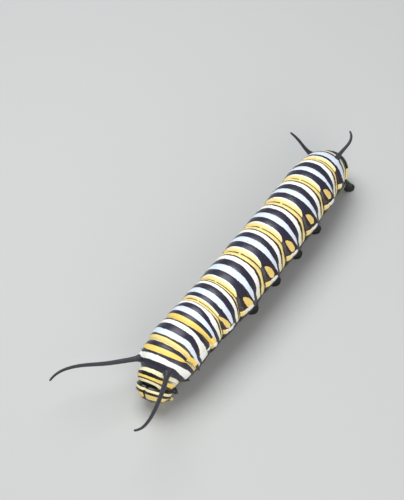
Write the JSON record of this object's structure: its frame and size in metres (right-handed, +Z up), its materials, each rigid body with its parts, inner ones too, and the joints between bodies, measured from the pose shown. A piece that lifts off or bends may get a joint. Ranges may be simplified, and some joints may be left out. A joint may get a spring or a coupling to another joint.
{
  "type": "monarch larva",
  "caption": "Monarch butterfly larva standing, banded yellow, black and white, with two long front filaments and two short rear ones.",
  "frame": {"origin": "middle of the animal's bounding box, on the floor that its feet stand on", "axes": "+X toward the head, +Y to the animal's left, +Z up"},
  "size_m": [0.0442, 0.0118, 0.0089],
  "materials": {
    "banded_skin": "satin",
    "head_shell": "gloss",
    "mouthparts": "gloss",
    "filament_skin": "satin",
    "leg_shell": "gloss",
    "proleg_skin": "satin"
  },
  "bodies": {
    "root": {"head": "head_shell", "upper_lip": "mouthparts", "jaw_left": "mouthparts", "jaw_right": "mouthparts", "lower_lip": "mouthparts", "antenna_left": "head_shell", "antenna_right": "head_shell", "thorax_1": "banded_skin", "thorax_2": "banded_skin", "thorax_3": "banded_skin", "abdomen_1": "banded_skin", "abdomen_2": "banded_skin", "abdomen_3": "banded_skin", "abdomen_4": "banded_skin", "abdomen_5": "banded_skin", "abdomen_6": "banded_skin", "abdomen_7": "banded_skin", "abdomen_8": "banded_skin", "abdomen_9": "banded_skin", "abdomen_10": "banded_skin", "front_filament_right": "filament_skin", "front_filament_left": "filament_skin", "rear_filament_right": "filament_skin", "rear_filament_left": "filament_skin", "leg_1_left": "leg_shell", "leg_1_right": "leg_shell", "leg_2_left": "leg_shell", "leg_2_right": "leg_shell", "leg_3_left": "leg_shell", "leg_3_right": "leg_shell", "proleg_3_left": "proleg_skin", "proleg_3_right": "proleg_skin", "proleg_4_left": "proleg_skin", "proleg_4_right": "proleg_skin", "proleg_5_left": "proleg_skin", "proleg_5_right": "proleg_skin", "proleg_6_left": "proleg_skin", "proleg_6_right": "proleg_skin", "anal_proleg_left": "proleg_skin", "anal_proleg_right": "proleg_skin"}
  },
  "joints": []
}
